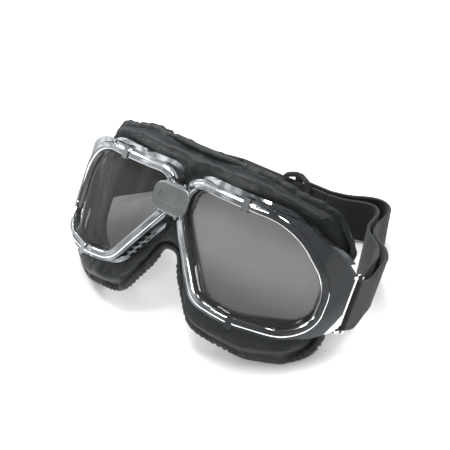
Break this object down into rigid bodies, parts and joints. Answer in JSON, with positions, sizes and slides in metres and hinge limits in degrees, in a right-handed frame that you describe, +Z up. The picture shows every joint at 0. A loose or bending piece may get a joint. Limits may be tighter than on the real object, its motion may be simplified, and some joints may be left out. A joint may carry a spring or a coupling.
{
  "type": "motorcycle goggles",
  "caption": "Aviator style riding goggles: chromed eye frames hinged at a bridge plate, smoked lenses, leather pads, elastic strap with slider.",
  "frame": {"origin": "middle of the bounding box in plan, on the table that the goggles rest on", "axes": "+X to the wearer's left, -Y the way the lenses face, +Z up; the goggles lean back 30 degrees as they rest"},
  "size_m": [0.1565, 0.1296, 0.0843],
  "materials": {
    "chrome": "polished",
    "plate": "brushed",
    "pin": "polished",
    "lens": "smoked",
    "gasket": "matte",
    "leather": "satin",
    "binding": "satin",
    "lining": "velvet",
    "webbing": "woven",
    "slider": "gloss"
  },
  "bodies": {
    "bridge": {"bridge_plate": "plate", "bridge_link_upper": "chrome", "bridge_link_lower": "chrome", "hinge_pin_left": "pin", "hinge_pin_right": "pin", "pad_nose": "leather", "strap_back": "webbing"},
    "frame_left": {"front_rim_left": "chrome", "lens_left": "lens", "lens_gasket_left": "gasket", "frame_shell_left": "chrome", "strap_bar_left": "pin", "top_clip_left": "chrome", "lower_clip_left": "chrome", "pad_left": "leather", "pad_binding_left": "binding", "face_lining_left": "lining", "strap_loop_left": "webbing", "strap_outer_left": "webbing", "strap_inner_left": "webbing"},
    "frame_right": {"front_rim_right": "chrome", "lens_right": "lens", "lens_gasket_right": "gasket", "frame_shell_right": "chrome", "strap_bar_right": "pin", "top_clip_right": "chrome", "lower_clip_right": "chrome", "pad_right": "leather", "pad_binding_right": "binding", "face_lining_right": "lining", "strap_loop_right": "webbing", "strap_side_right": "webbing"},
    "slider": {"strap_slider": "slider", "strap_tail": "webbing"}
  },
  "joints": [
    {"name": "hinge_left", "type": "hinge", "parent": "bridge", "child": "frame_left", "pos_m": [0.0046, -0.04881, 0.0652], "axis": [0, 0.5, 0.866], "range_deg": [-5, 8], "deforming": ["strap_outer_left", "strap_inner_left", "pad_nose"]},
    {"name": "hinge_right", "type": "hinge", "parent": "bridge", "child": "frame_right", "pos_m": [-0.0046, -0.04881, 0.0652], "axis": [0, 0.5, 0.866], "range_deg": [-8, 5], "deforming": ["strap_side_right", "pad_nose"]},
    {"name": "slider_slide", "type": "slide", "parent": "bridge", "child": "slider", "axis": [1, 0, 0], "range_m": [-0.012, 0.008]}
  ]
}
